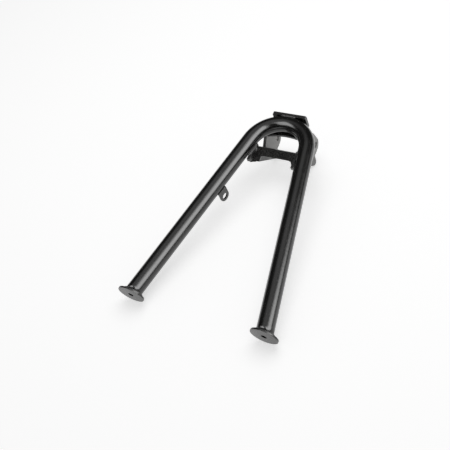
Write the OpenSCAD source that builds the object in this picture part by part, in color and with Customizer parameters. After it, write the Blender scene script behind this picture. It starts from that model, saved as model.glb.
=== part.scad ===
// Motorcycle centre stand: a bent tube on two foot discs, with a pivot bracket
// welded under its bend. It lies on the floor as it comes to rest.
// Each piece is drawn in the plane of the tube, x across, y from the feet to the
// bend and z out of the plane, and is then tilted into the resting position.

/* [Node] */
// piece to build, or all of them

/* [Tube] */
// outside diameter of the tube
tube_d = 25; // [24:0.5:26]
// wall thickness of the tube
tube_wall = 2.5; // [2:0.1:3]
// radius of the bend, on the tube's axis
bend_r = 49; // [45:0.5:55]
// length of a leg, from the foot's face to the start of the bend
leg_len = 307.5; // [280:0.5:340]
// angle of each leg to the middle of the stand
leg_splay = 11.3; // [10.8:0.1:11.8]

/* [Feet] */
// diameter of a foot disc
foot_d = 40; // [37:0.5:43]
// height of the dome on the foot's face
foot_dome = 2.5; // [1.5:0.1:3]
// thickness of the foot's rim
foot_rim = 1.2; // [0.8:0.1:1.4]
// thickness of the foot disc in its middle
foot_t = 4.5; // [4.5:0.1:5]
// diameter of the drain hole
drain_d = 6; // [4:0.5:8]

/* [Pivot bracket] */
// gap between the inside of the bend and the outer faces of the cheeks
cheek_gap = 0.5; // [0.3:0.1:1]
// thickness of the bracket's plates
plate_t = 5; // [4:0.5:6]
// diameter of the pivot hole
pivot_d = 10; // [8:0.5:12]
// radius of the cheek round the pivot hole
boss_r = 10.5; // [9.5:0.5:11.5]
// pivot axis beyond the axis of the bend
pivot_past = 5; // [4:0.5:6]
// pivot axis below the tube's axis
pivot_drop = 48; // [47:0.5:49]
// lower tip of the cheek short of the axis of the bend
tip_short = 12; // [11:0.5:13]
// lower tip of the cheek below the tube's axis
tip_drop = 72; // [71:0.5:74]
// radius of the cheek's lower tip
tip_r = 5; // [4:0.5:6]
// cheek's near edge before the middle of the bend
heel_back = 34; // [30:0.5:36]
// cheek's top edge above the tube's axis
heel_rise = 8; // [6:0.5:9]
// top edge of the cross web above the tube's axis
web_rise = 6; // [4:0.5:6]
// bottom edge of the cross web below the tube's axis
web_drop = 22; // [18:0.5:24]

/* [Stop plate] */
// width of the stop plate
stop_w = 57; // [50:0.5:60]
// stop plate's top edge above the tube's axis
stop_rise = 9; // [8:0.5:11]
// stop plate's bottom edge below the tube's axis
stop_drop = 16; // [14:0.5:18]
// depth of the bend's seat in the stop plate
stop_seat = 2.6; // [2:0.1:3]

/* [Spring lug] */
// middle of the lug along the left leg, from the foot's face
lug_at = 210; // [180:1:235]
// width of the lug
lug_w = 18; // [16:0.5:20]
// thickness of the lug
lug_t = 3; // [2.5:0.1:4]
// hole for the spring's hook
lug_hole_d = 10; // [8:0.5:11]
// lug hole below the tube's axis
lug_drop = 20; // [19:0.5:22]

/* [Welds] */
// leg of the fillet round each foot
foot_fillet = 4; // [3:0.1:5]
// radius of the heavy bead between a leg and its cheek
leg_bead_r = 5; // [4.6:0.1:5.4]
// radius of the light beads on the bracket
bead_r = 2.8; // [2.4:0.1:3.2]

/* [Hidden] */
$fa = 2;
$fs = 0.5;
PAINT = [0.06, 0.06, 0.065];
BEAD = [0.09, 0.09, 0.095];
tube_r = tube_d / 2;
bore_r = tube_r - tube_wall;
foot_r = foot_d / 2;
foot_x = bend_r * cos(leg_splay) + leg_len * sin(leg_splay);
bend_y = leg_len * cos(leg_splay) - bend_r * sin(leg_splay);
dome_r = (foot_r * foot_r + foot_dome * foot_dome) / (2 * foot_dome);
// the foot's shoulder lies under the outer edge of its fillet
shoulder_r = tube_r + foot_fillet;
cheek_out = bend_r - tube_r - cheek_gap;
cheek_x = cheek_out - plate_t;
// the pivot, the cheek's tip and the seat of the bend on the cheek, from the middle of the bend
pivot_reach = bend_r + pivot_past;
tip_reach = bend_r - tip_short;
seat_reach = sqrt(bend_r * bend_r - cheek_out * cheek_out);
tip_y = bend_y + tip_reach;
// direction of the cheek's sloping lower edge, from the heel to the tip
edge_a = 48;
heel_low = (tip_reach + heel_back - tip_r * sin(edge_a)) * tan(edge_a)
    - tip_drop - tip_r * cos(edge_a);
// the stop plate's near face, sunk onto the outside of the bend
stop_y = bend_y + bend_r + tube_r - stop_seat;
// depth to which the cheeks rise round the underside of the bend
saddle_z = -0.72 * tube_r;
// the beads under the bend reach this far to each side of its seat
bead_half = 7;
stop_bead_half = 12;
lug_r = lug_w / 2;
// the lug's inner face meets the tube low on its inner side
lug_x = 0.84 * tube_r;
lug_root = 0.4 * tube_r;
clear = 1;
// the legs are finer than the bend by this, and run on into it to be one with it
seam = 0.1;

// drop of a foot's rim below the tube's axis once the stand is tilted by a
function rim_drop(a) = foot_r * sqrt(pow(cos(a), 2) + pow(sin(leg_splay) * sin(a), 2))
    - foot_dome * cos(leg_splay) * sin(a);

// tilt at which the cheek's tip lies as low as a rim with this drop
function tilt_for(drop) = atan2(tip_drop, tip_y)
    + asin((tip_r - drop) / norm([tip_y, tip_drop]));

rest_tilt = tilt_for(rim_drop(tilt_for(rim_drop(tilt_for(foot_r)))));

// moves a piece from the tube's plane to its place at rest, with the pivot at the origin
module at_rest() {
    rotate([rest_tilt, 0, 0])
        translate([0, -bend_y - pivot_reach, pivot_drop])
            children();
}

// puts a piece drawn along +z onto a leg, z from the foot's face up the leg, x towards
// the middle of the stand and +y down; side is -1 for the left leg and 1 for the right
module on_leg(side) {
    mirror([side < 0 ? 1 : 0, 0, 0])
        translate([0, bend_y, 0])
            rotate([0, 0, leg_splay])
                translate([bend_r, -leg_len, 0])
                    mirror([1, 0, 0])
                        rotate([-90, 0, 0])
                            children();
}

// stands a profile drawn in y and z upright, t thick, with its inner face at x
module side_plate(x, t) {
    translate([x, 0, 0])
        rotate([90, 0, 90])
            linear_extrude(t)
                children();
}

// the tube's full section, r in radius, without its bore; it starts at z = from on each leg
module tube_solid(r, from) {
    for (side = [-1, 1])
        on_leg(side)
            translate([0, 0, from])
                cylinder(r = r - seam, h = leg_len - from + clear);
    bend_solid(r);
}

// the bend between the two legs, without its bore
module bend_solid(r) {
    translate([0, bend_y, 0])
        rotate([0, 0, leg_splay])
            rotate_extrude(angle = 180 - 2 * leg_splay)
                translate([bend_r, 0])
                    circle(r = r);
}

module leg_cutter(side) {
    on_leg(side)
        cylinder(r = tube_r, h = leg_len + clear);
}

module stand_tube() {
    color(PAINT)
        at_rest()
            difference() {
                tube_solid(tube_r, foot_t);
                tube_solid(bore_r, foot_t);
            }
}

// domed disc with a drain hole, drawn with its face's middle at the origin
module foot_disc() {
    rotate_extrude()
        intersection() {
            translate([0, dome_r])
                circle(r = dome_r, $fn = 1440);
            polygon([
                [drain_d / 2, -clear],
                [foot_r, -clear],
                [foot_r, foot_dome + foot_rim],
                [shoulder_r, foot_t],
                [drain_d / 2, foot_t]
            ]);
        }
}

module foot_fillet_ring() {
    difference() {
        translate([0, 0, foot_t])
            cylinder(r1 = shoulder_r, r2 = tube_r, h = foot_fillet);
        cylinder(r = tube_r, h = foot_t + foot_fillet + clear);
    }
}

module foot_left() {
    color(PAINT) at_rest() on_leg(-1) foot_disc();
}

module foot_right() {
    color(PAINT) at_rest() on_leg(1) foot_disc();
}

module weld_foot_left() {
    color(BEAD) at_rest() on_leg(-1) foot_fillet_ring();
}

module weld_foot_right() {
    color(BEAD) at_rest() on_leg(1) foot_fillet_ring();
}

// outline of a cheek in y and z, with y from the middle of the bend
module cheek_outline() {
    boss = [pivot_reach, -pivot_drop];
    tip = [tip_reach, -tip_drop];
    polygon([
        [-heel_back, heel_rise],
        [clear, heel_rise],
        [clear, saddle_z - clear],
        [0.25 * seat_reach, -web_drop],
        [0.55 * seat_reach, -web_drop],
        [seat_reach - bead_half, saddle_z],
        [pivot_reach - 3, saddle_z],
        [pivot_reach + 4, 23 - pivot_drop],
        boss + (boss_r - seam) * [cos(20), sin(20)],
        boss + (boss_r - seam) * [cos(-100), sin(-100)],
        [tip_reach + tip_r - seam, boss[1] - boss_r - 1.5],
        tip + [tip_r - seam, 0],
        tip - (tip_r - seam) * [sin(edge_a), cos(edge_a)],
        [-heel_back, heel_low]
    ]);
}

// right-hand cheek, seated round the underside of the bend
module cheek_piece() {
    difference() {
        translate([0, bend_y, 0])
            union() {
                side_plate(cheek_x, plate_t)
                    cheek_outline();
                side_plate(cheek_x, plate_t)
                    translate([pivot_reach, -pivot_drop])
                        circle(r = boss_r);
                side_plate(cheek_x, plate_t)
                    translate([tip_reach, -tip_drop])
                        circle(r = tip_r);
            }
        bend_solid(tube_r);
        translate([0, bend_y, 0])
            side_plate(cheek_x - clear, plate_t + 2 * clear)
                translate([pivot_reach, -pivot_drop])
                    circle(d = pivot_d);
    }
}

module cheek_left() {
    color(PAINT) at_rest() mirror([1, 0, 0]) cheek_piece();
}

module cheek_right() {
    color(PAINT) at_rest() cheek_piece();
}

module cross_web() {
    color(PAINT)
        at_rest()
            translate([-cheek_x, bend_y - plate_t, -web_drop])
                cube([2 * cheek_x, plate_t, web_drop + web_rise]);
}

module stop_plate() {
    color(PAINT)
        at_rest()
            difference() {
                translate([-stop_w / 2, stop_y, -stop_drop])
                    cube([stop_w, plate_t, stop_drop + stop_rise]);
                bend_solid(tube_r);
            }
}

// flat lug drawn in the leg's frame, in which +y is down
module lug_piece() {
    difference() {
        translate([lug_x, lug_drop, lug_at])
            rotate([0, 90, 0])
                linear_extrude(lug_t)
                    difference() {
                        union() {
                            circle(r = lug_r);
                            translate([-lug_r, lug_root - lug_drop])
                                square([lug_w, lug_drop - lug_root]);
                        }
                        circle(d = lug_hole_d);
                    }
        cylinder(r = tube_r, h = leg_len);
    }
}

// bead in the corner between the lug's inner face and the underside of the tube
module lug_bead() {
    difference() {
        translate([lug_x - 0.6, sqrt(tube_r * tube_r - lug_x * lug_x) + 1.4, lug_at - lug_r + clear])
            cylinder(r = bead_r, h = lug_w - 2 * clear);
        cylinder(r = tube_r, h = leg_len);
        translate([lug_x, 0, lug_at - lug_w])
            cube([lug_w, lug_w, 2 * lug_w]);
    }
}

module spring_lug() {
    color(PAINT) at_rest() on_leg(-1) lug_piece();
}

// bead between a leg and the outer face of its cheek
module leg_bead() {
    difference() {
        translate([cheek_out + 0.7 * leg_bead_r, bend_y - heel_back, heel_rise - leg_bead_r])
            rotate([-90, 0, 0])
                cylinder(r = leg_bead_r, h = heel_back);
        leg_cutter(1);
        translate([cheek_x, bend_y - heel_back - clear, -heel_rise])
            cube([plate_t, heel_back + 2 * clear, 3 * heel_rise]);
    }
}

// bead under the bend, along the outer face of the right-hand cheek
module bend_bead() {
    difference() {
        translate([cheek_out + 0.3 * bead_r, bend_y + seat_reach - bead_half, -tube_r])
            rotate([-90, 0, 0])
                cylinder(r = bead_r, h = 2 * bead_half);
        bend_solid(tube_r);
        translate([cheek_x, bend_y, -2 * tube_r])
            cube([plate_t, 2 * bend_r, 2 * tube_r]);
    }
}

// upright bead in the corner between the cross web and the right-hand cheek
module web_bead() {
    difference() {
        translate([cheek_x, bend_y - plate_t, clear - web_drop])
            cylinder(r = bead_r, h = web_drop + web_rise - 2 * clear);
        translate([cheek_x, bend_y - 2 * plate_t, -2 * web_drop])
            cube([plate_t, 2 * plate_t, 4 * web_drop]);
        translate([0, bend_y - plate_t, -2 * web_drop])
            cube([cheek_x, plate_t, 4 * web_drop]);
    }
}

// bead across the top of the seat between the bend and the stop plate
module stop_bead() {
    difference() {
        translate([-stop_bead_half, stop_y - 0.3, stop_rise - 0.8])
            rotate([0, 90, 0])
                cylinder(r = bead_r, h = 2 * stop_bead_half, $fn = 120);
        bend_solid(tube_r, $fn = 300);
        translate([-stop_w / 2, stop_y, -stop_drop])
            cube([stop_w, plate_t, 2 * stop_drop + stop_rise]);
    }
}

module weld_leg_left() {
    color(BEAD) at_rest() mirror([1, 0, 0]) leg_bead();
}

module weld_leg_right() {
    color(BEAD) at_rest() leg_bead();
}

module weld_bend_left() {
    color(BEAD) at_rest() mirror([1, 0, 0]) bend_bead();
}

module weld_bend_right() {
    color(BEAD) at_rest() bend_bead();
}

module weld_web_left() {
    color(BEAD) at_rest() mirror([1, 0, 0]) web_bead();
}

module weld_web_right() {
    color(BEAD) at_rest() web_bead();
}

module weld_stop_upper() {
    color(BEAD) at_rest() stop_bead();
}

module weld_stop_lower() {
    color(BEAD) at_rest() mirror([0, 0, 1]) stop_bead();
}

module weld_lug() {
    color(BEAD) at_rest() on_leg(-1) lug_bead();
}

stand_tube();
foot_left();
foot_right();
cheek_left();
cheek_right();
cross_web();
stop_plate();
spring_lug();
weld_foot_left();
weld_foot_right();
weld_leg_left();
weld_leg_right();
weld_bend_left();
weld_bend_right();
weld_web_left();
weld_web_right();
weld_stop_upper();
weld_stop_lower();
weld_lug();
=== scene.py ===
"""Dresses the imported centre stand: the painted tube, its feet, the plates of the pivot
bracket and the weld beads, on a pale studio floor."""

import math

import bmesh
import bpy
from bpy.props import FloatProperty, FloatVectorProperty, IntProperty, PointerProperty
from bpy.types import Operator, Panel, PropertyGroup
from mathutils import Matrix, Vector, noise


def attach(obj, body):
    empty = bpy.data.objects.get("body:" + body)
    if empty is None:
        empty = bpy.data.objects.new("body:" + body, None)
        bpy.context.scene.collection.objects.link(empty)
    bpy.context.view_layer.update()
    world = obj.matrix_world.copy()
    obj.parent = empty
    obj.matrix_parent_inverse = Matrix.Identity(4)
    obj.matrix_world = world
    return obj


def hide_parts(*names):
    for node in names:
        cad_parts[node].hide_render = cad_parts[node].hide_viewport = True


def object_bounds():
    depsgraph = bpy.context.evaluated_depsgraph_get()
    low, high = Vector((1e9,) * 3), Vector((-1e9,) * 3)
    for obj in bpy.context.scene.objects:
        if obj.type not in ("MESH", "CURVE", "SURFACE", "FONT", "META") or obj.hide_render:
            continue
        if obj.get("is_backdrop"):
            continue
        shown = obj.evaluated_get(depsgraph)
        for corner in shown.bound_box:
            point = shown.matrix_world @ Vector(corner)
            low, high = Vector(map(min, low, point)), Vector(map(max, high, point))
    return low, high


bl_info = {
    "name": "Centre Stand Dressing",
    "version": (1, 0, 0),
    "blender": (4, 5, 0),
    "location": "3D View > Sidebar > Stand",
    "description": "Paint, weld beads, rounded plates and a studio for a centre stand",
    "category": "Object",
}

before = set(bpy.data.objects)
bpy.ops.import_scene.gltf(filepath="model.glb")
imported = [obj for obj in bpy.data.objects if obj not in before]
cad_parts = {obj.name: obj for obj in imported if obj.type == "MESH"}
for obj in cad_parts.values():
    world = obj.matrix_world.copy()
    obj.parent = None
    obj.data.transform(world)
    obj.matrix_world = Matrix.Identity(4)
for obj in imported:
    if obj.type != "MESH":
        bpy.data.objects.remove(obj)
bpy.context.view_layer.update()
MM = 0.001
SIDES = {"left": -1, "right": 1}
MIRROR = Matrix.Scale(-1.0, 4, (1.0, 0.0, 0.0))
LAID_BACK = Matrix.Rotation(math.radians(-90.0), 4, "X")


# Settings

class StandShape(PropertyGroup):
    """Sizes of the stand in its own plane, the same as those of its solids"""

    tube_radius: FloatProperty(
        name="Tube Radius", description="Outside radius of the tube",
        default=0.0125, unit="LENGTH")
    tube_wall: FloatProperty(
        name="Tube Wall", description="Wall thickness of the tube",
        default=0.0025, unit="LENGTH")
    bend_radius: FloatProperty(
        name="Bend Radius", description="Radius of the bend on the tube's axis",
        default=0.049, unit="LENGTH")
    leg_length: FloatProperty(
        name="Leg Length", description="From a foot's face to the start of the bend",
        default=0.3075, unit="LENGTH")
    leg_splay: FloatProperty(
        name="Leg Splay", description="Angle of each leg to the middle of the stand",
        default=math.radians(11.3), subtype="ANGLE", unit="ROTATION")
    rest_tilt: FloatProperty(
        name="Rest Tilt", description="Tilt of the tube's plane as the stand lies",
        default=math.radians(9.914121), subtype="ANGLE", unit="ROTATION")
    pivot_reach: FloatProperty(
        name="Pivot Reach", description="Pivot axis beyond the middle of the bend",
        default=0.054, unit="LENGTH")
    pivot_drop: FloatProperty(
        name="Pivot Drop", description="Pivot axis below the tube's axis",
        default=0.048, unit="LENGTH")


class FootShape(PropertyGroup):
    """Sizes of a foot disc"""

    radius: FloatProperty(
        name="Radius", description="Radius of the disc", default=0.0205, unit="LENGTH")
    dome: FloatProperty(
        name="Dome", description="Height of the dome on its face",
        default=0.0002, unit="LENGTH")
    rim: FloatProperty(
        name="Rim", description="Thickness of the rim", default=0.0026, unit="LENGTH")
    beyond: FloatProperty(
        name="Beyond", description="Face of the disc beyond the leg's nominal end",
        default=0.0013, unit="LENGTH")
    thickness: FloatProperty(
        name="Thickness", description="Thickness in the middle",
        default=0.0038, unit="LENGTH")
    shoulder: FloatProperty(
        name="Shoulder", description="Radius of the disc's flat back",
        default=0.0170, unit="LENGTH")
    drain: FloatProperty(
        name="Drain Hole", description="Radius of the drain hole",
        default=0.0041, unit="LENGTH")


class PlateShape(PropertyGroup):
    """Sizes of the bracket's plates and of the beads that join them"""

    edge_round: FloatProperty(
        name="Edge Round", description="Rounding of the plates' edges under the paint",
        default=0.0005, unit="LENGTH")
    cheek_inside: FloatProperty(
        name="Cheek Inside", description="Inner face of a cheek from the middle",
        default=0.031, unit="LENGTH")
    plate: FloatProperty(
        name="Plate", description="Thickness of the bracket's plates",
        default=0.005, unit="LENGTH")
    heel_inside: FloatProperty(
        name="Heel Inside", description="Inner face of a cheek's heel from the middle",
        default=0.035, unit="LENGTH")
    heel_back: FloatProperty(
        name="Heel Back", description="Near edge of the heel before the middle of the bend",
        default=0.0255, unit="LENGTH")
    web_lean: FloatProperty(
        name="Web Lean", description="Lean of the cross web from the upright",
        default=math.radians(40.0), subtype="ANGLE", unit="ROTATION")
    web_start: FloatVectorProperty(
        name="Web Start", description="Front top edge of the web, up the stand and out of it",
        size=2, default=(0.001, -0.0034), subtype="NONE", unit="LENGTH")
    stop_y: FloatProperty(
        name="Stop Plate Face", description="Near face of the stop plate past the bend's middle",
        default=0.0589, unit="LENGTH")
    ripple_pitch: FloatProperty(
        name="Ripple Pitch", description="Distance between two ripples of a bead",
        default=0.0019, unit="LENGTH")
    ripple_height: FloatProperty(
        name="Ripple Height", description="Height of a ripple, as a share of the bead's radius",
        default=0.13, min=0.0, max=0.5, subtype="FACTOR")
    bead_steps: IntProperty(
        name="Bead Steps", description="Rings in each ripple of a bead", default=6, min=3)


class PaintLook(PropertyGroup):
    """Colours and gloss of the black paint"""

    black: FloatVectorProperty(
        name="Black", description="Colour of the tube's paint",
        default=(0.0085, 0.0085, 0.0088), subtype="COLOR", min=0.0, max=1.0)
    thin_black: FloatVectorProperty(
        name="Thin Black", description="Colour where the paint is thin",
        default=(0.016, 0.0155, 0.0145), subtype="COLOR", min=0.0, max=1.0)
    dust: FloatVectorProperty(
        name="Dust", description="Colour of the dust specks",
        default=(0.16, 0.155, 0.145), subtype="COLOR", min=0.0, max=1.0)
    bare: FloatVectorProperty(
        name="Bare Edge", description="Colour of worn edges",
        default=(0.10, 0.098, 0.094), subtype="COLOR", min=0.0, max=1.0)
    # Painted reflection: the light grey laid on the cheeks towards the pivot stands in for the
    # lit floor that they reflect there
    painted_reflection_grey: FloatVectorProperty(
        name="Rubbed Paint", description="Colour where the frame rubs the cheeks",
        default=(0.21, 0.207, 0.20), subtype="COLOR", min=0.0, max=1.0)
    # Distances up the stand and heights where the painted reflection sets in
    painted_reflection_edge: FloatVectorProperty(
        name="Rub Edge", description="Distances up the stand where rubbing sets in",
        size=2, default=(-0.046, -0.030), subtype="NONE", unit="LENGTH")
    painted_reflection_low: FloatVectorProperty(
        name="Rub Low", description="Heights where rubbing sets in",
        size=2, default=(-0.020, -0.012), subtype="NONE", unit="LENGTH")
    dust_share: FloatProperty(
        name="Dust Share", description="How much of its colour a dust speck gives",
        default=0.35, subtype="FACTOR", min=0.0, max=1.0)
    wear_share: FloatProperty(
        name="Wear Share", description="How much of the bare colour worn edges show",
        default=0.12, subtype="FACTOR", min=0.0, max=1.0)
    smudge_roughness: FloatProperty(
        name="Smudge Roughness", description="Roughness that smudges add", default=0.07)
    streak_roughness: FloatProperty(
        name="Streak Roughness", description="Roughness that streaks add", default=0.05)
    dust_roughness: FloatProperty(
        name="Dust Roughness", description="Roughness that dust adds", default=0.18)
    wear_roughness: FloatProperty(
        name="Wear Roughness", description="Roughness that worn edges add", default=0.12)
    # Roughness added where the painted reflection lies
    painted_reflection_roughness: FloatProperty(
        name="Rub Roughness", description="Roughness that rubbing adds", default=0.15)
    peel_height: FloatProperty(
        name="Orange Peel", description="Height of the paint's wide waves",
        default=0.00006, unit="LENGTH")
    peel_fine: FloatProperty(
        name="Fine Peel", description="Height of the paint's fine waves",
        default=0.000035, unit="LENGTH")
    dust_height: FloatProperty(
        name="Dust Height", description="Height of a dust speck",
        default=0.00003, unit="LENGTH")
    tube_roughness: FloatProperty(
        name="Tube Roughness", description="Roughness of the paint on the tube",
        default=0.17, subtype="FACTOR", min=0.0, max=1.0)
    plate_roughness: FloatProperty(
        name="Plate Roughness", description="Roughness of the paint on the plates",
        default=0.21, subtype="FACTOR", min=0.0, max=1.0)
    foot_roughness: FloatProperty(
        name="Foot Roughness", description="Roughness of the paint on the feet",
        default=0.22, subtype="FACTOR", min=0.0, max=1.0)
    weld_roughness: FloatProperty(
        name="Weld Roughness", description="Roughness of the paint on the beads",
        default=0.30, subtype="FACTOR", min=0.0, max=1.0)


class StudioLook(PropertyGroup):
    """Floor, lights and camera"""

    floor: FloatVectorProperty(
        name="Floor", description="Colour of the floor", default=(0.80, 0.80, 0.80),
        subtype="COLOR", min=0.0, max=1.0)
    floor_glow: FloatProperty(
        name="Floor Glow", description="Light that the paper floor sends out", default=0.57)
    fill_power: FloatProperty(
        name="Fill Power", description="Power of the soft light overhead",
        default=10.5, unit="POWER")
    room_light: FloatProperty(
        name="Room Light", description="Even light of the room on the floor", default=0.32)
    backdrop: FloatProperty(
        name="Backdrop", description="Brightness of the backdrop behind the floor", default=0.95)
    card_light: FloatProperty(
        name="Softbox Light", description="Brightness of the softbox in the gloss", default=7.6)
    card_foot: FloatVectorProperty(
        name="Softbox Foot", description="Elevations where its lower edge fades in",
        size=2, default=(0.0, 0.384), subtype="NONE", unit="ROTATION")
    card_head: FloatVectorProperty(
        name="Softbox Head", description="Elevations where its upper edge fades out",
        size=2, default=(0.663, 1.309), subtype="NONE", unit="ROTATION")
    card_near: FloatVectorProperty(
        name="Softbox Near Edge", description="Bearings where its near edge fades in",
        size=2, default=(-1.25, -0.80), subtype="NONE", unit="ROTATION")
    card_far: FloatVectorProperty(
        name="Softbox Far Edge", description="Bearings where its far edge fades out",
        size=2, default=(0.50, 0.78), subtype="NONE", unit="ROTATION")
    card_climb: FloatProperty(
        name="Softbox Climb", description="Rise of the softbox towards its near edge",
        default=0.35)
    window_light: FloatProperty(
        name="Window Light", description="Brightness of the second light in the gloss",
        default=6.0)
    window_turn: FloatVectorProperty(
        name="Window Turn", description="Bearings where the second light fades in and out",
        size=4, default=(-2.88, -2.50, -1.92, -1.62), subtype="NONE", unit="ROTATION")
    window_rise: FloatVectorProperty(
        name="Window Rise", description="Elevations where the second light fades in and out",
        size=4, default=(0.35, 0.62, 1.02, 1.19), subtype="NONE", unit="ROTATION")
    ceiling_light: FloatProperty(
        name="Ceiling Light", description="Brightness of the ceiling in the gloss", default=0.85)
    ceiling_edge: FloatVectorProperty(
        name="Ceiling Edge", description="Elevations where the ceiling fades in",
        size=2, default=(0.785, 1.257), subtype="NONE", unit="ROTATION")
    lens: FloatProperty(
        name="Lens", description="Focal length on a 36 mm sensor, in millimetres",
        default=60.0)
    eye: FloatVectorProperty(
        name="Eye", description="Place of the camera",
        default=(0.482486, -0.786788, 0.807975), subtype="TRANSLATION", unit="LENGTH")
    target: FloatVectorProperty(
        name="Target", description="Point that the camera looks at",
        default=(-0.019927, -0.206376, 0.012657), subtype="TRANSLATION", unit="LENGTH")
    roll: FloatProperty(
        name="Roll", description="Roll of the camera", default=math.radians(-18.01),
        subtype="ANGLE", unit="ROTATION")


def settings(name):
    return getattr(bpy.context.scene, name)


# Shader maths

class Value:
    """A value socket that Python's operators extend with Math nodes"""

    def __init__(self, shader, socket):
        self.shader = shader
        self.socket = socket

    def math(self, operation, first, second):
        node = self.shader.node(
            "ShaderNodeMath", {"operation": operation}, {0: first, 1: second})
        return Value(self.shader, node.outputs[0])

    def __add__(self, other):
        return self.math("ADD", self, other)

    def __radd__(self, other):
        return self.math("ADD", other, self)

    def __sub__(self, other):
        return self.math("SUBTRACT", self, other)

    def __rsub__(self, other):
        return self.math("SUBTRACT", other, self)

    def __mul__(self, other):
        return self.math("MULTIPLY", self, other)

    def __rmul__(self, other):
        return self.math("MULTIPLY", other, self)

    def above(self, low, high):
        """0 below low, 1 above high and smooth between them"""
        node = self.shader.node(
            "ShaderNodeMapRange", {"interpolation_type": "SMOOTHSTEP"},
            {"Value": self, "From Min": low, "From Max": high})
        return Value(self.shader, node.outputs[0])


class Shader:
    """Builds the nodes of one material or world"""

    # Where a Mix node has its two colours and their mix
    mix_inputs = (6, 7)
    mix_output = 2

    def __init__(self, owner):
        self.owner = owner
        owner.use_nodes = True
        self.tree = owner.node_tree
        self.tree.nodes.clear()

    def node(self, kind, options=None, sockets=None):
        """Adds a node, sets its options and then fills or links its sockets"""
        made = self.tree.nodes.new(kind)
        for name, value in (options or {}).items():
            setattr(made, name, value)
        for name, value in (sockets or {}).items():
            self.feed(made.inputs[name], value)
        return made

    def feed(self, socket, value):
        """Links a socket to another one or sets its value"""
        if isinstance(value, Value):
            value = value.socket
        if isinstance(value, bpy.types.NodeSocket):
            self.tree.links.new(value, socket)
        else:
            socket.default_value = value

    def place(self):
        return self.node("ShaderNodeTexCoord").outputs["Object"]

    def split(self, vector):
        """The three values of a vector socket"""
        parts = self.node("ShaderNodeSeparateXYZ", {}, {"Vector": vector})
        return [Value(self, socket) for socket in parts.outputs]

    def noise(self, scale, detail=2.0, stretch=(1.0, 1.0, 1.0), seed=0.0):
        """Noise with features about 1/scale metres across"""
        where = self.node(
            "ShaderNodeMapping", {},
            {"Vector": self.place(), "Location": (seed, -seed, 0.5 * seed), "Scale": stretch})
        made = self.node(
            "ShaderNodeTexNoise", {},
            {"Vector": where.outputs[0], "Scale": scale, "Detail": detail})
        return Value(self, made.outputs["Fac"])

    def attribute(self, name):
        made = self.node("ShaderNodeAttribute", {"attribute_name": name})
        return Value(self, made.outputs["Fac"])

    def blend(self, factor, first, second):
        """Mixes two colours"""
        made = self.node("ShaderNodeMix", {"data_type": "RGBA"}, {"Factor": factor})
        for index, value in zip(self.mix_inputs, (first, second)):
            is_socket = isinstance(value, bpy.types.NodeSocket)
            self.feed(made.inputs[index], value if is_socket else (*value, 1.0))
        return made.outputs[self.mix_output]

    def bump(self, height, distance, normal=None):
        sockets = {"Height": height, "Distance": distance}
        if normal is not None:
            sockets["Normal"] = normal
        return self.node("ShaderNodeBump", {}, sockets).outputs[0]

    def surface(self, socket, output="ShaderNodeOutputMaterial"):
        self.node(output, {}, {"Surface": socket})
        return self.owner


def paint(name, roughness, peel, grit, seed, coat, painted_reflection_share=0.0):
    """Black paint with orange peel, thin spots, dust and worn rims; its last argument lays a
    painted reflection on it, a lighter grey towards the pivot and up the cheeks"""
    look = settings("stand_paint")
    shader = Shader(bpy.data.materials.new(name))
    cloud = shader.noise(scale=26.0, detail=3.0, seed=seed)
    streak = shader.noise(
        scale=60.0, detail=3.0, stretch=(1.0, 0.12, 1.0), seed=seed + 3.0).above(0.45, 0.75)
    specks = shader.noise(scale=2100.0, detail=1.0, seed=seed + 5.0).above(0.70, 0.78)
    smudge = shader.noise(scale=75.0, detail=4.0, seed=seed + 9.0).above(0.50, 0.80)
    ragged = shader.noise(scale=900.0, detail=2.0, seed=seed + 2.0).above(0.42, 0.60)
    waves = shader.noise(scale=240.0, detail=1.0, seed=seed + 4.0)
    ripples = shader.noise(scale=820.0, detail=2.0, seed=seed + 6.0)
    worn = shader.attribute("rim") * ragged
    colour = shader.blend(cloud, look.black, look.thin_black)
    colour = shader.blend(specks * (look.dust_share * grit), colour, look.dust)
    colour = shader.blend(worn * look.wear_share, colour, look.bare)
    # Painted reflection: a lighter grey towards the pivot and up the cheek stands in for the lit
    # floor that these faces reflect; the paint is also rougher there
    if painted_reflection_share > 0.0:
        _, y, z = shader.split(shader.place())
        painted_reflection_mask = y.above(*look.painted_reflection_edge) * z.above(*look.painted_reflection_low) * painted_reflection_share
        colour = shader.blend(painted_reflection_mask * (0.85 + 0.3 * cloud), colour, look.painted_reflection_grey)
        roughness = roughness + look.painted_reflection_roughness * painted_reflection_mask
    rough = (roughness + look.smudge_roughness * smudge + look.streak_roughness * streak
             + (look.dust_roughness * grit) * specks + look.wear_roughness * worn)
    wavy = shader.bump(waves, look.peel_height * peel)
    fine = shader.bump(ripples, look.peel_fine * peel, wavy)
    normal = shader.bump(specks, look.dust_height * grit, fine)
    body = shader.node(
        "ShaderNodeBsdfPrincipled", {},
        {"Base Color": colour, "Roughness": rough, "Normal": normal, "IOR": 1.5,
         "Coat Weight": coat, "Coat Roughness": 0.10, "Coat IOR": 1.5})
    return shader.surface(body.outputs[0])


def paints():
    """The finishes, made once and shared by the pieces"""
    look = settings("stand_paint")
    if "gloss_black" not in bpy.data.materials:
        paint("gloss_black", look.tube_roughness, peel=1.0, grit=0.7, seed=0.0, coat=0.35)
        paint("foot_black", look.foot_roughness, peel=1.6, grit=1.3, seed=1.7, coat=0.10)
        paint("plate_black", look.plate_roughness, peel=1.3, grit=1.0, seed=3.1, coat=0.25)
        # The cheeks carry the painted reflection towards the pivot
        paint("cheek_black", look.plate_roughness, peel=1.3, grit=1.0, seed=5.3, coat=0.25,
              painted_reflection_share=1.0)
        paint("weld_black", look.weld_roughness, peel=2.2, grit=1.4, seed=4.6, coat=0.20)
    return bpy.data.materials


# Places

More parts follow.
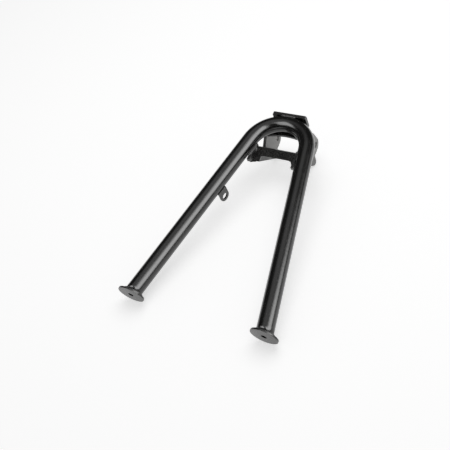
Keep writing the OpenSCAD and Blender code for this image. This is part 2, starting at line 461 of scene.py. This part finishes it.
def stand_plane():
    """From the tube's plane to the stand at rest: x across, y up the stand, z out of it"""
    shape = settings("stand_shape")
    return (Matrix.Rotation(shape.rest_tilt, 4, "X")
            @ Matrix.Translation((0.0, -shape.pivot_reach, shape.pivot_drop)))


def on_leg(side):
    """From a leg's own frame, z from the foot's face up the leg and +y down, to the row's"""
    shape = settings("stand_shape")
    leg = (Matrix.Rotation(shape.leg_splay, 4, "Z")
           @ Matrix.Translation((shape.bend_radius, -shape.leg_length, 0.0))
           @ MIRROR @ LAID_BACK)
    return stand_plane() @ (leg if side > 0 else MIRROR @ leg)


def on_foot(side):
    """From a foot's own frame, z up the stand from its face and x across, to the row's"""
    shape = settings("stand_shape")
    length = shape.leg_length + settings("stand_foot").beyond
    cos, sin = math.cos(shape.leg_splay), math.sin(shape.leg_splay)
    place = (side * (shape.bend_radius * cos + length * sin),
             shape.bend_radius * sin - length * cos, 0.0)
    return stand_plane() @ Matrix.Translation(place) @ LAID_BACK


def mirrored(matrix, side):
    """A place of the right side, or its mirror image for the left one"""
    return matrix if side > 0 else matrix @ MIRROR


# Mesh helpers

def add_object(name, data):
    """Adds an object to the scene, from its data or from a mesh that it uses up"""
    if isinstance(data, bmesh.types.BMesh):
        mesh, data = data, bpy.data.meshes.new(name)
        mesh.to_mesh(data)
        mesh.free()
    made = bpy.data.objects.new(name, data)
    bpy.context.scene.collection.objects.link(made)
    return made


def finish_piece(mesh, name, place, node, material):
    """Makes a smooth object of a mesh, in the row frame, and lets it stand for a node, if
    there is one"""
    mesh.transform(place)
    bmesh.ops.recalc_face_normals(mesh, faces=mesh.faces)
    piece = add_object(name, mesh)
    for polygon in piece.data.polygons:
        polygon.use_smooth = True
    piece.data.materials.append(material)
    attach(piece, "root")
    if node:
        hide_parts(node)
    return piece


def turns(count):
    """Angles of as many equal steps round a circle"""
    return [math.tau * step / count for step in range(count)]


def skin(mesh, rings, closed_path, caps=True):
    """Joins rings of vertices into a tube, with a fan over each end of an open one"""
    count = len(rings)
    sides = len(rings[0])
    for index in range(count if closed_path else count - 1):
        here = rings[index]
        beyond = rings[(index + 1) % count]
        for corner in range(sides):
            after = (corner + 1) % sides
            mesh.faces.new((here[corner], here[after], beyond[after], beyond[corner]))
    if caps and not closed_path:
        mesh.faces.new(rings[0])
        mesh.faces.new(rings[-1])


def round_profile(points, radii, steps=5):
    """Rounds the corners of a closed outline, each with its own radius"""
    result = []
    for index, point in enumerate(points):
        here = Vector(point)
        if radii[index] <= 0.0:
            result.append(here)
            continue
        before = (Vector(points[index - 1]) - here).normalized()
        after = (Vector(points[(index + 1) % len(points)]) - here).normalized()
        reach = radii[index] / math.tan(before.angle(after) / 2.0)
        start = here + before * reach
        end = here + after * reach
        for step in range(steps + 1):
            part = step / steps
            result.append(start * (1 - part) ** 2 + here * 2 * part * (1 - part)
                          + end * part ** 2)
    return result


# Tube

class STAND_OT_tube(Operator):
    """Bend the painted tube from one foot to the other"""

    bl_idname = "stand.tube"
    bl_label = "Bent Tube"

    around = 96
    bend_rings = 120
    leg_rings = 36

    def execute(self, context):
        shape = context.scene.stand_shape
        foot = context.scene.stand_foot
        splay = shape.leg_splay
        bend = []
        for step in range(self.bend_rings + 1):
            turn = splay + (math.pi - 2 * splay) * step / self.bend_rings
            bend.append((shape.bend_radius * math.cos(turn),
                         shape.bend_radius * math.sin(turn), turn))
        start_x, start_y, _ = bend[0]
        length = shape.leg_length + foot.beyond
        end_y = start_y - length * math.cos(splay) + foot.thickness
        leg = []
        for step in range(self.leg_rings):
            back = (length - foot.thickness) * (1 - step / self.leg_rings)
            leg.append((start_x + back * math.sin(splay),
                        start_y - back * math.cos(splay), splay))
        path = leg + bend + [(-x, y, math.pi - turn) for x, y, turn in reversed(leg)]
        mesh = bmesh.new()
        for radius in (shape.tube_radius, shape.tube_radius - shape.tube_wall):
            rings = []
            for place, (x, y, turn) in enumerate(path):
                out = Vector((math.cos(turn), math.sin(turn), 0.0))
                along = Vector((-math.sin(turn), math.cos(turn), 0.0))
                ring = []
                for angle in turns(self.around):
                    point = (Vector((x, y, 0.0)) + out * (radius * math.cos(angle))
                             + Vector((0.0, 0.0, radius * math.sin(angle))))
                    # The ends lie flat on the feet's backs
                    if place in (0, len(path) - 1):
                        point += along * ((end_y - point.y) / along.y)
                    ring.append(mesh.verts.new(point))
                rings.append(ring)
            skin(mesh, rings, False, caps=False)
            if radius == shape.tube_radius:
                outer = rings
        for end in (0, -1):
            for corner in range(self.around):
                after = (corner + 1) % self.around
                mesh.faces.new((outer[end][corner], outer[end][after],
                                rings[end][after], rings[end][corner]))
        finish_piece(mesh, "bent_tube", stand_plane(), "stand_tube",
                     paints()["gloss_black"])
        return {"FINISHED"}


# Feet

class STAND_OT_feet(Operator):
    """Turn the two domed foot discs, with rounded rims and drain holes"""

    bl_idname = "stand.feet"
    bl_label = "Foot Discs"

    around = 144
    dome_steps = 12
    drain_round = 0.3 * MM
    rim_round = 0.45 * MM
    back_round = 0.5 * MM
    rim_width = 0.7 * MM

    def execute(self, context):
        foot = context.scene.stand_foot
        sphere = (foot.radius ** 2 + foot.dome ** 2) / (2 * foot.dome)
        back = foot.dome + foot.rim
        dome = []
        for step in range(self.dome_steps + 1):
            reach = foot.drain + (foot.radius - foot.drain) * step / self.dome_steps
            dome.append((reach, sphere - math.sqrt(sphere ** 2 - reach ** 2)))
        outline = round_profile(
            dome + [(foot.radius, back), (foot.shoulder, foot.thickness),
                    (foot.drain, foot.thickness)],
            [self.drain_round] + [0.0] * (len(dome) - 2)
            + [self.rim_round, self.rim_round, self.back_round, 0.0])
        for name, side in SIDES.items():
            mesh = bmesh.new()
            rim = mesh.verts.layers.float.new("rim")
            rings = []
            for angle in turns(self.around):
                ring = []
                for reach, height in outline:
                    point = mesh.verts.new(
                        (reach * math.cos(angle), reach * math.sin(angle), height))
                    point[rim] = max(0.0, 1.0 - abs(foot.radius - reach) / self.rim_width)
                    ring.append(point)
                rings.append(ring)
            skin(mesh, rings, True)
            finish_piece(mesh, "foot_disc_" + name, on_foot(side), "foot_" + name,
                         paints()["foot_black"])
        return {"FINISHED"}


# Plates of the bracket

SHARP_EDGE = math.radians(28.0)
FLAT_SEAM = math.radians(0.6)
MERGE_DISTANCE = 2e-6


def in_metres(points):
    return [(first * MM, second * MM) for first, second in points]


def slab(near, far):
    """A closed solid between two outlines that have as many points"""
    mesh = bmesh.new()
    ends = [[mesh.verts.new(point) for point in outline] for outline in (near, far)]
    skin(mesh, ends, False)
    return mesh


def upright_slab(outline, low, high):
    """A slab across the stand between two values of x, from its outline in y and z"""
    return slab(*([(x, y, z) for y, z in outline] for x in (low, high)))


def arc(centre, radius, start, turn, steps=16):
    """Points round a centre from one angle over a turn, in degrees, both ends included"""
    angles = [math.radians(start + turn * step / steps) for step in range(steps + 1)]
    return [(centre[0] + radius * math.cos(angle), centre[1] + radius * math.sin(angle))
            for angle in angles]


def web_frame(plate):
    """The web's front top edge, the way down its slope and the way out of its front face"""
    lean = plate.web_lean
    return (Vector((0.0, *plate.web_start)),
            Vector((0.0, -math.sin(lean), -math.cos(lean))),
            Vector((0.0, -math.cos(lean), math.sin(lean))))


def behind_web(plate, down):
    """A point of the web's back face in y and z, at a distance down its slope"""
    start, slope, face = web_frame(plate)
    point = start - face * plate.plate + slope * down
    return point.y, point.z


def seat_cutter(shape, stub=0.12, bend_steps=90, around=96):
    """The bend and a stub of each leg as one closed solid, to cut seats with"""
    splay = shape.leg_splay
    mesh = bmesh.new()
    rings = []
    path = [(stub, splay)]
    path += [(0.0, splay + (math.pi - 2 * splay) * step / bend_steps)
             for step in range(bend_steps + 1)]
    path.append((stub, math.pi - splay))
    for back, turn in path:
        out = Vector((math.cos(turn), math.sin(turn), 0.0))
        down = Vector((math.sin(turn), -math.cos(turn), 0.0))
        if turn > math.pi / 2:
            down = -down
        ring = []
        for angle in turns(around):
            point = (out * (shape.bend_radius + shape.tube_radius * math.cos(angle))
                     + down * back + Vector((0.0, 0.0, shape.tube_radius * math.sin(angle))))
            ring.append(mesh.verts.new(point))
        rings.append(ring)
    skin(mesh, rings, False)
    return mesh


def carve(base, tools):
    """Joins meshes to a mesh or cuts them out of it, from pairs of operation and mesh"""
    made = []
    for mesh in [base] + [tool for _, tool in tools]:
        bmesh.ops.recalc_face_normals(mesh, faces=mesh.faces)
        made.append(add_object("carving", mesh))
    for (operation, _), tool in zip(tools, made[1:]):
        step = made[0].modifiers.new("Carve", "BOOLEAN")
        step.operation = operation
        step.solver = "EXACT"
        step.object = tool
    ready = made[0].evaluated_get(bpy.context.evaluated_depsgraph_get())
    result = bmesh.new()
    result.from_mesh(ready.to_mesh())
    ready.to_mesh_clear()
    for item in made:
        data = item.data
        bpy.data.objects.remove(item)
        bpy.data.meshes.remove(data)
    return result


def finish_plate(mesh, name, place, node, finish="plate_black"):
    """Rounds a plate's edges, marks them as rims and makes the piece"""
    bmesh.ops.remove_doubles(mesh, verts=mesh.verts, dist=MERGE_DISTANCE)
    bmesh.ops.dissolve_limit(mesh, angle_limit=FLAT_SEAM, verts=mesh.verts, edges=mesh.edges)
    rim = mesh.verts.layers.float.new("rim")
    edges = [edge for edge in mesh.edges
             if len(edge.link_faces) == 2 and edge.calc_face_angle() > SHARP_EDGE]
    made = bmesh.ops.bevel(
        mesh, geom=edges, offset=settings("stand_plates").edge_round, segments=3,
        profile=0.5, affect="EDGES", clamp_overlap=True)
    for vertex in made["verts"]:
        vertex[rim] = 1.0
    piece = finish_piece(mesh, name, place, node, paints()[finish])
    piece.modifiers.new("Weighted", "WEIGHTED_NORMAL").keep_sharp = True


class STAND_OT_spring_lug(Operator):
    """Round the edges of the spring lug, from its solid"""

    bl_idname = "stand.spring_lug"
    bl_label = "Spring Lug"

    def execute(self, context):
        mesh = bmesh.new()
        mesh.from_mesh(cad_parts["spring_lug"].data)
        finish_plate(mesh, "spring_lug_plate", Matrix.Identity(4), "spring_lug")
        return {"FINISHED"}


class STAND_OT_cheeks(Operator):
    """Cut the two cheeks, with pivot bosses, lower tips and heels, to their seats"""

    bl_idname = "stand.cheeks"
    bl_label = "Cheeks"

    boss_radius = 10.5 * MM
    boss_arc = (22.0, -52.0)
    bolt_radius = 5.0 * MM
    bolt_margin = 1.0 * MM
    bolt_steps = 40
    tip = (37.0 * MM, -73.2 * MM)
    tip_radius = 5.0 * MM
    tip_arc = (0.0, -136.0)
    web_meets = (5.6 * MM, 25.6 * MM)
    # Outlines in millimetres: y up the stand and z out of it
    top_edge = ((8.0, -24.0), (17.0, -24.0), (32.6, -9.1), (51.0, -9.0), (58.0, -25.0))
    far_edge = ((62.4, -54.6), (60.3, -58.0), (56.4, -60.6), (50.0, -62.0), (43.0, -62.6))
    heel_edge = ((7.0, -3.0), (7.0, -33.0), (-15.5, -23.0), (-9.3, -16.0))
    heel_end = (-3.0 * MM, -9.0 * MM)

    def cheek_outline(self, boss, plate):
        return ([behind_web(plate, self.web_meets[0])] + in_metres(self.top_edge)
                + arc(boss, self.boss_radius, *self.boss_arc) + in_metres(self.far_edge)
                + arc(self.tip, self.tip_radius, *self.tip_arc)
                + [behind_web(plate, self.web_meets[1])])

    def heel_outline(self, plate):
        """The heel's near edge rises under the leg, beside the heavy bead"""
        top, low = self.heel_end
        return ([(-plate.heel_back, top)] + in_metres(self.heel_edge)
                + [(-plate.heel_back, low)])

    def execute(self, context):
        shape = context.scene.stand_shape
        plate = context.scene.stand_plates
        plane = stand_plane()
        boss = (shape.pivot_reach, -shape.pivot_drop)
        inner = plate.cheek_inside
        outer = inner + plate.plate
        for name, side in SIDES.items():
            cheek = upright_slab(self.cheek_outline(boss, plate), inner, outer)
            heel = upright_slab(self.heel_outline(plate), plate.heel_inside,
                                plate.heel_inside + plate.plate)
            bolt = upright_slab(arc(boss, self.bolt_radius, 0.0, -360.0, self.bolt_steps)[:-1],
                                inner - self.bolt_margin, outer + self.bolt_margin)
            mesh = carve(cheek, (("UNION", heel), ("DIFFERENCE", bolt),
                                 ("DIFFERENCE", seat_cutter(shape))))
            finish_plate(mesh, "cheek_%s_plate" % name, mirrored(plane, side),
                         "cheek_" + name, "cheek_black")
        return {"FINISHED"}


class STAND_OT_stop_plate(Operator):
    """Cut the stop plate, with rounded corners, to its seat outside the bend"""

    bl_idname = "stand.stop_plate"
    bl_label = "Stop Plate"

    half = 28.5 * MM
    low = -16.0 * MM
    high = 9.0 * MM
    corner = 3.0 * MM

    def execute(self, context):
        plate = context.scene.stand_plates
        x, low, high = self.half, self.low, self.high
        outline = round_profile([(-x, low), (x, low), (x, high), (-x, high)],
                                [self.corner] * 4)
        mesh = slab(*([(x, y, z) for x, z in outline]
                      for y in (plate.stop_y, plate.stop_y + plate.plate)))
        mesh = carve(mesh, (("DIFFERENCE", seat_cutter(context.scene.stand_shape)),))
        finish_plate(mesh, "stop_plate_plate", stand_plane(), "stop_plate")
        return {"FINISHED"}


class STAND_OT_cross_web(Operator):
    """Make the leaning web between the cheeks, with its widened ends"""

    bl_idname = "stand.cross_web"
    bl_label = "Cross Web"

    # The right half's outline in millimetres, across the stand and down the slope
    edge = ((35.0, 0.0), (35.4, 8.0), (41.0, 14.5), (43.5, 27.0), (28.5, 22.5),
            (26.0, 14.5), (22.0, 13.0), (8.0, 13.0))

    def execute(self, context):
        plate = context.scene.stand_plates
        start, slope, face = web_frame(plate)
        half = in_metres(self.edge)
        outline = [(-x, down) for x, down in half] + half[::-1]
        mesh = slab(*([start + Vector((x, 0.0, 0.0)) + slope * down - face * depth
                       for x, down in outline] for depth in (0.0, plate.plate)))
        finish_plate(mesh, "cross_web_plate", stand_plane(), "cross_web")
        return {"FINISHED"}


class STAND_OT_bend_strap(Operator):
    """Cut the flat strap that closes the bracket under the bend"""

    bl_idname = "stand.bend_strap"
    bl_label = "Bend Strap"

    top = -12.4 * MM
    thickness = 3.5 * MM
    near_edge = 35.5 * MM
    bow = 4.5 * MM
    bow_steps = 24

    def execute(self, context):
        plate = context.scene.stand_plates
        half = plate.cheek_inside
        shares = [2 * step / self.bow_steps - 1 for step in range(self.bow_steps + 1)]
        outline = [(half * share, self.near_edge - self.bow * share ** 2) for share in shares]
        outline += [(half, plate.stop_y), (-half, plate.stop_y)]
        mesh = slab(*([(x, y, z) for x, y in outline]
                      for z in (self.top - self.thickness, self.top)))
        mesh = carve(mesh, (("DIFFERENCE", seat_cutter(context.scene.stand_shape)),))
        finish_plate(mesh, "bend_strap", stand_plane(), None)
        return {"FINISHED"}


# Welds

SUNK = 1.0 * MM
BEAD_AROUND = 20
WOBBLE_SCALE = 420.0
WOBBLE_SHARE = 0.05
RIPPLE_CURVE = 1.6
RIPPLE_DRAG = 0.45
END_SQUARE = 0.04


def bead(name, path, outward, radius, limit, place, node, closed=False):
    """A rippled bead of weld along a path, pushed by limit out of what it must not enter"""
    plate = settings("stand_plates")
    points = [Vector(point) for point in path]
    count = len(points)
    length = sum((points[i + 1] - points[i]).length for i in range(count - 1))
    if closed:
        length += (points[0] - points[-1]).length
    ripples = max(3, round(length / plate.ripple_pitch))
    steps = ripples * plate.bead_steps
    mesh = bmesh.new()
    rings = []

    def at(share):
        spot = share * (count if closed else count - 1)
        first = min(int(spot), count - 1 if closed else count - 2)
        return points[first].lerp(points[(first + 1) % count], spot - first)

    for step in range(steps if closed else steps + 1):
        share = step / steps
        here = at(share)
        small = 0.5 / steps
        low, high = (share - small) % 1.0, (share + small) % 1.0
        if not closed:
            low, high = max(0.0, share - small), min(1.0, share + small)
        along = (at(high) - at(low)).normalized()
        out = Vector(outward(here)).normalized()
        across = along.cross(out).normalized()
        out = across.cross(along).normalized()
        phase = (share * ripples) % 1.0
        wobble = noise.noise(here * WOBBLE_SCALE) * WOBBLE_SHARE
        swell = 1.0 - plate.ripple_height * (abs(2 * phase - 1) ** RIPPLE_CURVE) + wobble
        if not closed:
            near = min(share, 1 - share) * length / radius
            swell *= math.sqrt(max(END_SQUARE, 1 - (1 - min(near, 1.0)) ** 2))
        ring = []
        for angle in turns(BEAD_AROUND):
            side = out * math.cos(angle) + across * math.sin(angle)
            drag = along * (-RIPPLE_DRAG * plate.ripple_pitch * (1 - math.cos(angle)) * 0.5)
            ring.append(mesh.verts.new(limit(here + side * (radius * swell) + drag)))
        rings.append(ring)
    skin(mesh, rings, closed)
    finish_piece(mesh, name, place, node, paints()["weld_black"])


def straight(start, end, count=24):
    """Points of a straight path, evenly spaced"""
    return [Vector(start).lerp(Vector(end), step / (count - 1)) for step in range(count)]


def outside_leg(point, keep):
    """Keeps a point of the leg's frame out of the tube, where keep is the least radius"""
    reach = math.hypot(point.x, point.y)
    if reach >= keep:
        return point
    scale = keep / max(reach, 1e-6)
    return Vector((point.x * scale, point.y * scale, point.z))


def outside_bend(point, bend_radius, keep):
    """Keeps a point of the tube's plane, from the middle of the bend, out of the bend"""
    ring = math.hypot(point.x, point.y)
    reach = Vector((ring - bend_radius, point.z))
    if reach.length >= keep:
        return point
    reach = reach.normalized() * keep
    scale = (bend_radius + reach.x) / ring
    return Vector((point.x * scale, point.y * scale, reach.y))


class STAND_OT_foot_welds(Operator):
    """Lay the ring of weld between each foot disc and the tube"""

    bl_idname = "stand.foot_welds"
    bl_label = "Foot Welds"

    radius = 2.5 * MM
    centre = 12.9 * MM
    height = 4.4 * MM
    lift = 0.7
    path_steps = 180

    def execute(self, context):
        shape = context.scene.stand_shape
        foot = context.scene.stand_foot
        keep = shape.tube_radius - SUNK
        for name, side in SIDES.items():
            foot_in_leg = on_leg(side).inverted() @ on_foot(side)
            leg_in_foot = foot_in_leg.inverted()
            shift = -side * self.height * math.tan(shape.leg_splay)

            def limit(point, there=foot_in_leg, back=leg_in_foot):
                point = back @ outside_leg(there @ point, keep)
                return Vector((point.x, point.y, max(point.z, foot.thickness - SUNK)))

            stretch = self.centre / math.cos(shape.leg_splay)
            path = [(shift + stretch * math.cos(angle), self.centre * math.sin(angle),
                     self.height) for angle in turns(self.path_steps)]
            bead("foot_bead_" + name, path,
                 lambda spot, shift=shift: (spot.x - shift, spot.y, self.lift * self.centre),
                 self.radius, limit, on_foot(side), "weld_foot_" + name, closed=True)
        return {"FINISHED"}


class STAND_OT_bracket_welds(Operator):
    """Lay the beads that join the bracket's plates to the tube and to each other"""

    bl_idname = "stand.bracket_welds"
    bl_label = "Bracket Welds"

    heavy = 4.3 * MM
    light = 2.8 * MM
    web_inset = 1.0 * MM
    web_bead = 9.0 * MM
    heel_top = 3.0 * MM
    drop = 5.0 * MM
    bend_half = 7.0 * MM
    bend_clear = 0.3
    stop_half = 12.0 * MM
    stop_rise = 8.2 * MM
    stop_back = 0.3 * MM

    def execute(self, context):
        shape = context.scene.stand_shape
        plate = context.scene.stand_plates
        plane = stand_plane()
        outside = plate.cheek_inside + plate.plate
        keep = shape.tube_radius - SUNK
        leg_in_plane = plane.inverted() @ on_leg(1)
        plane_in_leg = leg_in_plane.inverted()

        def limit_leg(point):
            point = leg_in_plane @ outside_leg(point, keep)
            if point.z < -self.heel_top:
                point.x = min(point.x, plate.heel_inside + SUNK)
            return plane_in_leg @ point

        def limit_bend(point):
            point = outside_bend(point, shape.bend_radius, keep)
            return Vector((max(point.x, outside - SUNK), point.y, point.z))

        start, slope, face = web_frame(plate)

        def limit_web(point):
            depth = (point - start).dot(face)
            if depth < -SUNK:
                point = point - face * (depth + SUNK)
            return Vector((min(point.x, plate.heel_inside + SUNK), point.y, point.z))

        def limit_stop(point):
            point = outside_bend(point, shape.bend_radius, keep)
            return Vector((point.x, min(point.y, plate.stop_y + SUNK), point.z))

        seat = math.sqrt(shape.bend_radius ** 2 - outside ** 2)
        for name, side in SIDES.items():
            place = mirrored(plane, side)
            x = shape.tube_radius
            far = shape.leg_length
            bead("leg_bead_" + name,
                 straight((x, self.drop, far - plate.heel_back), (x, self.drop, far)),
                 lambda spot: (1.0, 0.2, 0.0), self.heavy, limit_leg, on_leg(side),
                 "weld_leg_" + name)
            x = outside + self.bend_clear * self.light
            z = -shape.tube_radius
            bead("bend_bead_" + name,
                 straight((x, seat - self.bend_half, z), (x, seat + self.bend_half, z)),
                 lambda spot: (1.0, 0.0, -0.5), self.light, limit_bend, place,
                 "weld_bend_" + name)
            corner = start + Vector((plate.heel_inside, 0.0, 0.0))
            bead("web_bead_" + name,
                 straight(corner + slope * self.web_inset, corner + slope * self.web_bead),
                 lambda spot: (-1.0, face.y, face.z), self.light, limit_web, place,
                 "weld_web_" + name)
        for name, up in (("upper", 1.0), ("lower", -1.0)):
            z = up * self.stop_rise
            y = plate.stop_y - self.stop_back
            bead("stop_bead_" + name, straight((-self.stop_half, y, z), (self.stop_half, y, z)),
                 lambda spot, up=up: (0.0, -1.0, up), self.light, limit_stop, plane,
                 "weld_stop_" + name)
        return {"FINISHED"}


class STAND_OT_lug_weld(Operator):
    """Lay the bead between the spring lug and the left leg"""

    bl_idname = "stand.lug_weld"
    bl_label = "Lug Weld"

    radius = 2.8 * MM
    lug_x = 10.5 * MM
    lug_at = 210.0 * MM
    half = 8.0 * MM
    beside = 0.6 * MM
    above = 1.4 * MM

    def execute(self, context):
        shape = context.scene.stand_shape
        keep = shape.tube_radius - SUNK
        x = self.lug_x - self.beside
        y = math.sqrt(shape.tube_radius ** 2 - self.lug_x ** 2) + self.above

        def limit(point):
            point = outside_leg(point, keep)
            return Vector((min(point.x, self.lug_x + SUNK), point.y, point.z))

        bead("lug_bead",
             straight((x, y, self.lug_at - self.half), (x, y, self.lug_at + self.half)),
             lambda spot: (-1.0, 1.0, 0.0), self.radius, limit, on_leg(-1), "weld_lug")
        return {"FINISHED"}


# Stage

class STAND_OT_stage(Operator):
    """Set the pale floor, the soft lights and the camera"""

    bl_idname = "stand.stage"
    bl_label = "Studio"

    floor_half = 1.3
    floor_gap = 0.00002
    grain_dark = 0.99
    fill_place = (0.1, 0.25, 1.6)
    fill_target = (0.0, -0.15, 0.0)
    fill_size = 1.6
    darkest = 0.02

    def floor(self, look):
        shader = Shader(bpy.data.materials.new("pale_paper"))
        grain = shader.noise(scale=900.0, detail=2.0)
        colour = shader.blend(grain, look.floor, [self.grain_dark * c for c in look.floor])
        diffuse = shader.node("ShaderNodeBsdfDiffuse", {}, {"Color": colour})
        glow = shader.node("ShaderNodeEmission", {}, {"Strength": look.floor_glow})
        both = shader.node(
            "ShaderNodeAddShader", {}, {0: diffuse.outputs[0], 1: glow.outputs[0]})
        mesh = bmesh.new()
        bmesh.ops.create_grid(mesh, x_segments=4, y_segments=4, size=self.floor_half)
        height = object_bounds()[0][2] - self.floor_gap
        floor = add_object("studio_floor", mesh)
        floor.data.materials.append(shader.surface(both.outputs[0]))
        floor.location.z = height
        floor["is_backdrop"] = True

    def fill(self, look):
        data = bpy.data.lights.new("overhead_fill", "AREA")
        data.shape = "SQUARE"
        data.size = self.fill_size
        data.energy = look.fill_power
        light = add_object("overhead_fill", data)
        light.location = self.fill_place
        towards = Vector(self.fill_target) - Vector(self.fill_place)
        light.rotation_euler = towards.to_track_quat("-Z", "Y").to_euler()
        light.visible_glossy = False
        light.visible_camera = False

    def world(self, look):
        """A softbox on the right, a second light in front on the left and a dim ceiling, seen
        by gloss alone; the backdrop and the light on the floor are even"""
        shader = Shader(bpy.data.worlds.new("studio_world"))
        way = shader.node("ShaderNodeTexCoord").outputs["Generated"]
        east, north, height = shader.split(way)
        rise = height.math("ARCSINE", height, 0.0)
        turn = north.math("ARCTAN2", north, east)
        lifted = rise + look.card_climb * turn.math("MINIMUM", turn, 0.0)
        box = (lifted.above(*look.card_foot) * (1 - lifted.above(*look.card_head))
               * turn.above(*look.card_near) * (1 - turn.above(*look.card_far)))
        ceiling = rise.above(*look.ceiling_edge)
        window = (turn.above(*look.window_turn[0:2]) * (1 - turn.above(*look.window_turn[2:4]))
                  * rise.above(*look.window_rise[0:2])
                  * (1 - rise.above(*look.window_rise[2:4])))
        gloss = (self.darkest + look.card_light * box + look.window_light * window
                 + look.ceiling_light * ceiling)
        path = shader.node("ShaderNodeLightPath")
        seen = Value(shader, path.outputs["Is Camera Ray"])
        shiny = Value(shader, path.outputs["Is Glossy Ray"])
        light = seen * look.backdrop + shiny * gloss + (1 - seen - shiny) * look.room_light
        sky = shader.node("ShaderNodeBackground", {}, {"Strength": light})
        world = shader.surface(sky.outputs[0], "ShaderNodeOutputWorld")
        world.cycles.sampling_method = "NONE"
        bpy.context.scene.world = world

    def camera(self, look):
        data = bpy.data.cameras.new("photo_camera")
        data.sensor_width = 36.0
        data.lens = look.lens
        data.clip_start = 0.01
        camera = add_object("photo_camera", data)
        back = (Vector(look.eye) - Vector(look.target)).normalized()
        level = Vector((0.0, 0.0, 1.0)).cross(back).normalized()
        right = Matrix.Rotation(look.roll, 3, back) @ level
        up = back.cross(right)
        turn = Matrix((right, up, back)).transposed()
        camera.matrix_world = Matrix.Translation(look.eye) @ turn.to_4x4()
        bpy.context.scene.camera = camera

    def execute(self, context):
        look = context.scene.stand_studio
        self.floor(look)
        self.fill(look)
        self.world(look)
        self.camera(look)
        context.scene.view_settings.view_transform = "Standard"
        return {"FINISHED"}


# Panel

STEPS = (STAND_OT_tube, STAND_OT_feet, STAND_OT_spring_lug, STAND_OT_cheeks,
         STAND_OT_stop_plate, STAND_OT_cross_web, STAND_OT_bend_strap, STAND_OT_foot_welds,
         STAND_OT_bracket_welds, STAND_OT_lug_weld, STAND_OT_stage)
GROUPS = {
    "stand_shape": StandShape,
    "stand_foot": FootShape,
    "stand_plates": PlateShape,
    "stand_paint": PaintLook,
    "stand_studio": StudioLook,
}


class STAND_PT_steps(Panel):
    """Lists the steps that dress the stand"""

    bl_idname = "STAND_PT_steps"
    bl_label = "Centre Stand"
    bl_space_type = "VIEW_3D"
    bl_region_type = "UI"
    bl_category = "Stand"

    def draw(self, context):
        for step in STEPS:
            self.layout.operator(step.bl_idname, text=step.bl_label)
        for name in GROUPS:
            box = self.layout.box()
            group = getattr(context.scene, name)
            for field in group.bl_rna.properties:
                if not field.is_readonly and field.identifier != "name":
                    box.prop(group, field.identifier)


def register():
    for group in GROUPS.values():
        bpy.utils.register_class(group)
    for name, group in GROUPS.items():
        setattr(bpy.types.Scene, name, PointerProperty(type=group))
    for step in STEPS:
        bpy.utils.register_class(step)
    bpy.utils.register_class(STAND_PT_steps)


def unregister():
    bpy.utils.unregister_class(STAND_PT_steps)
    for step in reversed(STEPS):
        bpy.utils.unregister_class(step)
    for name, group in GROUPS.items():
        delattr(bpy.types.Scene, name)
        bpy.utils.unregister_class(group)


def main():
    register()
    bpy.ops.stand.tube()
    bpy.ops.stand.feet()
    bpy.ops.stand.spring_lug()
    bpy.ops.stand.cheeks()
    bpy.ops.stand.stop_plate()
    bpy.ops.stand.cross_web()
    bpy.ops.stand.bend_strap()
    bpy.ops.stand.foot_welds()
    bpy.ops.stand.bracket_welds()
    bpy.ops.stand.lug_weld()
    bpy.ops.stand.stage()


if __name__ == "__main__":
    main()
